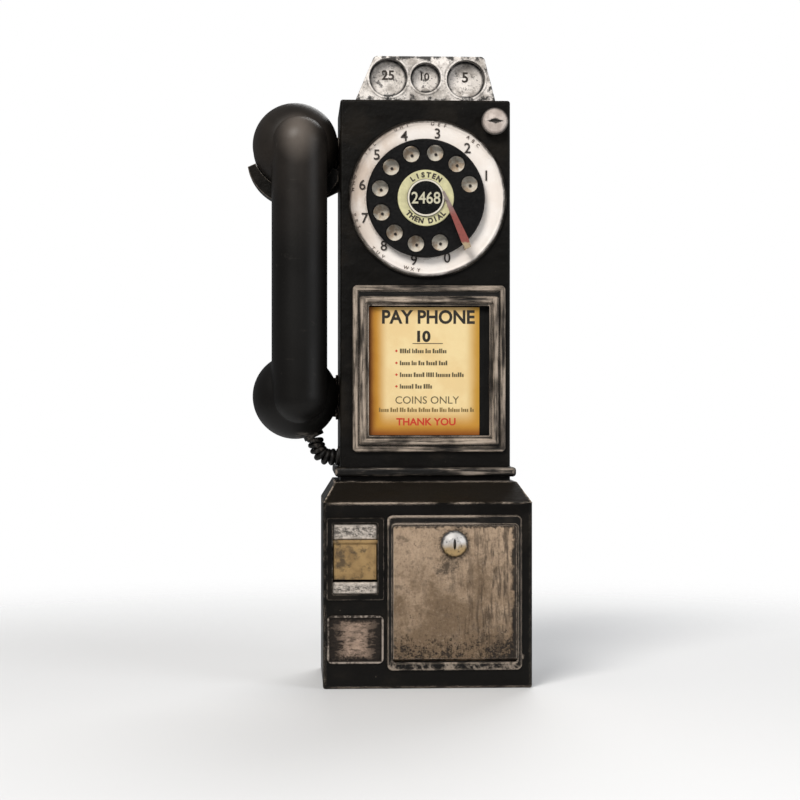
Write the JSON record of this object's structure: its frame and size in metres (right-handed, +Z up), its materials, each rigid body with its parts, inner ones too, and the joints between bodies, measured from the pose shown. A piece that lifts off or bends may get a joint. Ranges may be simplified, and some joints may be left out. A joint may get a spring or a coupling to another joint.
{
  "type": "payphone",
  "caption": "Wall and counter payphone with a rotary dial, coin wells on top, a side handset on a hook, a card frame, a coin return and a vault door.",
  "frame": {"origin": "centre of the flat underside of the lower housing", "axes": "+Z up; the front (dial and vault door) faces -Y; +X to the viewer's right; the handset is on -X"},
  "size_m": [0.1297, 0.0773, 0.29],
  "materials": {
    "housing_paint": "worn satin black",
    "collar_paint": "worn satin black",
    "back_metal": "satin black",
    "screw_steel": "plain",
    "bezel_paint": "satin black",
    "head_metal": "dull silver with tarnish",
    "chute_metal": "mill",
    "hopper_plastic": "moulded",
    "relay_metal": "plain",
    "trap_brass": "plain",
    "bell_metal": "polished",
    "gong_wire": "wire",
    "number_enamel": "off-white enamel, browned at the edge",
    "wheel_metal": "dull grey silver",
    "card_cream": "cream card",
    "badge_black": "gloss black",
    "shaft_steel": "ground",
    "gear_brass": "cut",
    "governor_brass": "turned",
    "frame_steel": "plated",
    "spring_steel": "wire",
    "contact_plastic": "phenolic",
    "stop_metal": "red over silver",
    "moulding_paint": "worn satin black",
    "board": "board",
    "instruction_paper": "aged print",
    "bush_metal": "plain",
    "knob_metal": "dull silver",
    "hook_metal": "dull grey casting",
    "lever_steel": "plated",
    "handset_black": "worn black",
    "capsule_metal": "plain",
    "boot_rubber": "matt",
    "cord_rubber": "curly cord",
    "terminal_plastic": "moulded",
    "coil_wrap": "varnished winding",
    "vault_frame_metal": "worn black",
    "door_metal": "brushed warm grey with rust tones",
    "hinge_steel": "plain",
    "lock_metal": "worn chrome",
    "plug_brass": "plain",
    "box_metal": "sheet",
    "cup_metal": "dark with worn edge",
    "bar_chrome": "worn chrome",
    "flap_metal": "ochre tan",
    "plate_metal": "rough tan with pale rim"
  },
  "bodies": {
    "housing": {"upper_housing": "housing_paint", "lower_housing": "housing_paint", "collar_bead": "collar_paint", "back_plate": "back_metal", "back_plate_screws": "screw_steel", "dial_bezel": "bezel_paint", "coin_head": "head_metal", "coin_chute": "chute_metal", "coin_hopper": "hopper_plastic", "coin_relay": "relay_metal", "return_chute": "chute_metal", "coin_bell": "bell_metal", "coin_gong": "gong_wire", "number_plate": "number_enamel", "dial_frame": "frame_steel", "dial_spring": "spring_steel", "pulse_contacts": "contact_plastic", "finger_stop": "stop_metal", "card_frame": "moulding_paint", "card_backing": "board", "instruction_card": "instruction_paper", "knob_bush": "bush_metal", "release_spring": "spring_steel", "hook_frame": "frame_steel", "hook_bracket": "housing_paint", "switch_springs": "contact_plastic", "handset_cord": "cord_rubber", "cord_grommet": "boot_rubber", "terminal_strip": "terminal_plastic", "induction_coil": "coil_wrap", "vault_frame": "vault_frame_metal", "handset_rest": "housing_paint", "hinge_pin": "hinge_steel", "coin_box": "box_metal", "return_cup": "cup_metal", "return_bar": "bar_chrome", "return_lip": "bar_chrome", "lower_panel": "plate_metal"},
    "dial": {"finger_wheel": "wheel_metal", "dial_card": "card_cream", "card_badge": "badge_black", "dial_shaft": "shaft_steel", "main_gear": "gear_brass"},
    "governor": {"governor": "governor_brass"},
    "hook": {"hook_cradle": "hook_metal", "hook_lever": "lever_steel"},
    "handset": {"handset_handle": "handset_black", "ear_cap": "handset_black", "mouth_cap": "handset_black", "receiver_capsule": "capsule_metal", "transmitter_capsule": "capsule_metal", "cord_boot": "boot_rubber"},
    "release_knob": {"release_knob": "knob_metal"},
    "coin_trap": {"coin_trap": "trap_brass"},
    "return_flap": {"return_flap": "flap_metal"},
    "vault_door": {"vault_door": "door_metal", "lock_barrel": "lock_metal"},
    "lock": {"lock_plug": "plug_brass", "lock_cam": "hinge_steel"}
  },
  "joints": [
    {"name": "dial_spin", "type": "hinge", "parent": "housing", "child": "dial", "pos_m": [-0.0003, -0.025, 0.2233], "axis": [0, 1, 0], "range_deg": [0, 325], "stiffness_Nm_per_rad": 0.002, "springref_deg": -28.65, "deforming": ["dial_spring"]},
    {"name": "governor_spin", "type": "hinge", "parent": "housing", "child": "governor", "pos_m": [0.01689, -0.013, 0.21338], "axis": [0, 1, 0], "range_deg": [-990, 0]},
    {"name": "hook_tilt", "type": "hinge", "parent": "housing", "child": "hook", "pos_m": [-0.02, 0.0025, 0.237], "axis": [0, 1, 0], "range_deg": [0, 6.1], "stiffness_Nm_per_rad": 0.01, "springref_deg": 11.46},
    {"name": "handset_lift", "type": "slide", "parent": "housing", "child": "handset", "axis": [0, -0.6, 0.8], "range_m": [0, 0.08], "deforming": ["handset_cord"]},
    {"name": "release_push", "type": "slide", "parent": "housing", "child": "release_knob", "axis": [0, 1, 0], "range_m": [0, 0.003], "stiffness_N_per_m": 150, "springref_m": -0.002, "deforming": ["release_spring"]},
    {"name": "coin_trap_tip", "type": "hinge", "parent": "housing", "child": "coin_trap", "pos_m": [0.0004, 0.0165, 0.146], "axis": [0, 1, 0], "range_deg": [-25, 25]},
    {"name": "return_flap_swing", "type": "hinge", "parent": "housing", "child": "return_flap", "pos_m": [-0.033, -0.0349, 0.0665], "axis": [1, 0, 0], "range_deg": [0, 50]},
    {"name": "vault_door_swing", "type": "hinge", "parent": "housing", "child": "vault_door", "pos_m": [0.0123, -0.0353, 0.0142], "axis": [1, 0, 0], "range_deg": [0, 90]},
    {"name": "lock_turn", "type": "hinge", "parent": "vault_door", "child": "lock", "pos_m": [0.0119, -0.036, 0.0655], "axis": [0, -1, 0], "range_deg": [0, 90]}
  ],
  "couplings": [
    {"joint": "governor_spin", "follows": "dial_spin", "ratio": -3},
    {"joint": "hook_tilt", "follows": "handset_lift", "rad_per_m": 1.309}
  ]
}
